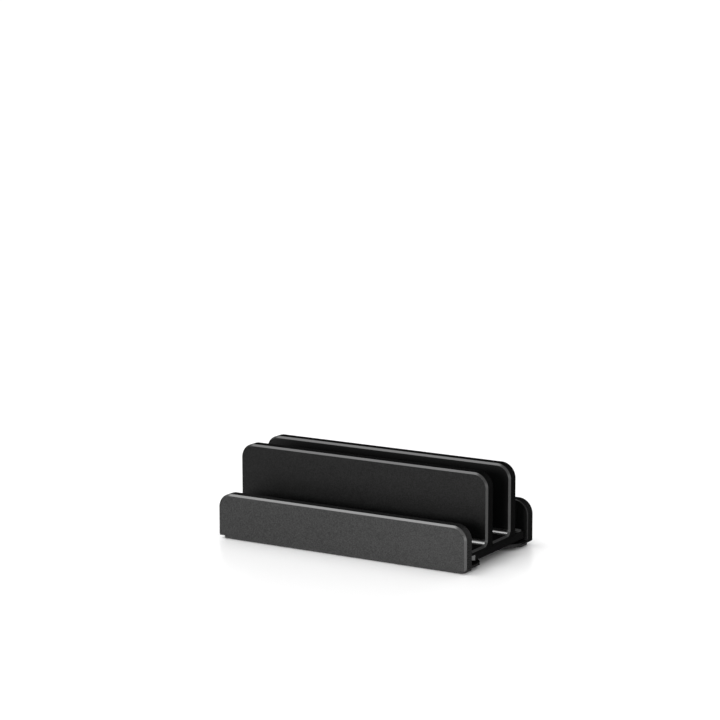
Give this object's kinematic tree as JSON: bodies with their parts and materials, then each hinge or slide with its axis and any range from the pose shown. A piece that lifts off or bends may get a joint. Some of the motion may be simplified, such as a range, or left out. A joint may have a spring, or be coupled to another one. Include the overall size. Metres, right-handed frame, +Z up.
{
  "type": "vertical laptop stand",
  "caption": "Free-standing upright stand that holds closed laptops, a tablet and a phone on edge in parallel slots, with sliding walls that set each slot's width.",
  "frame": {"origin": "centre of the footprint, on the surface that the stand rests on", "axes": "+X along the slots, to the right seen from the front; +Y towards the back, across the slots; +Z up"},
  "size_m": [0.15, 0.0736, 0.0476],
  "materials": {
    "dark_anodised_aluminium": "fine bead-blasted, dark grey anodised, with bright cut chamfers",
    "black_rubber": "matt moulded rubber",
    "grey_silicone": "matt silicone",
    "blackened_steel": "black oxide",
    "zinc_plated_steel": "zinc plated"
  },
  "bodies": {
    "base": {"left_rail": "dark_anodised_aluminium", "right_rail": "dark_anodised_aluminium", "left_rail_pad": "grey_silicone", "right_rail_pad": "grey_silicone", "front_upright": "dark_anodised_aluminium", "front_slot_floor_pad": "grey_silicone", "front_upright_back_pad": "grey_silicone", "front_upright_screws": "blackened_steel", "front_upright_washers": "zinc_plated_steel"},
    "front_wall_slider": {"front_wall": "dark_anodised_aluminium", "front_foot_strip": "black_rubber", "front_wall_pad": "grey_silicone", "front_clamp_screws": "blackened_steel", "front_clamp_spacers": "zinc_plated_steel", "front_slot_nuts": "zinc_plated_steel"},
    "rear_wall_slider": {"rear_wall": "dark_anodised_aluminium", "rear_foot_strip": "black_rubber", "rear_wall_pad": "grey_silicone", "rear_clamp_screws": "blackened_steel", "rear_clamp_spacers": "zinc_plated_steel", "rear_slot_nuts": "zinc_plated_steel"},
    "rear_upright_slider": {"rear_upright": "dark_anodised_aluminium", "middle_slot_floor_pad": "grey_silicone", "rear_upright_front_pad": "grey_silicone", "rear_upright_back_pad": "grey_silicone", "rear_upright_screws": "blackened_steel", "rear_upright_washers": "zinc_plated_steel"}
  },
  "joints": [
    {"name": "front_wall_slide", "type": "slide", "parent": "base", "child": "front_wall_slider", "axis": [0, -1, 0], "range_m": [0, 0.0055]},
    {"name": "rear_wall_slide", "type": "slide", "parent": "base", "child": "rear_wall_slider", "axis": [0, 1, 0], "range_m": [0, 0.0055]},
    {"name": "rear_upright_slide", "type": "slide", "parent": "base", "child": "rear_upright_slider", "axis": [0, 1, 0], "range_m": [0, 0.006]}
  ]
}
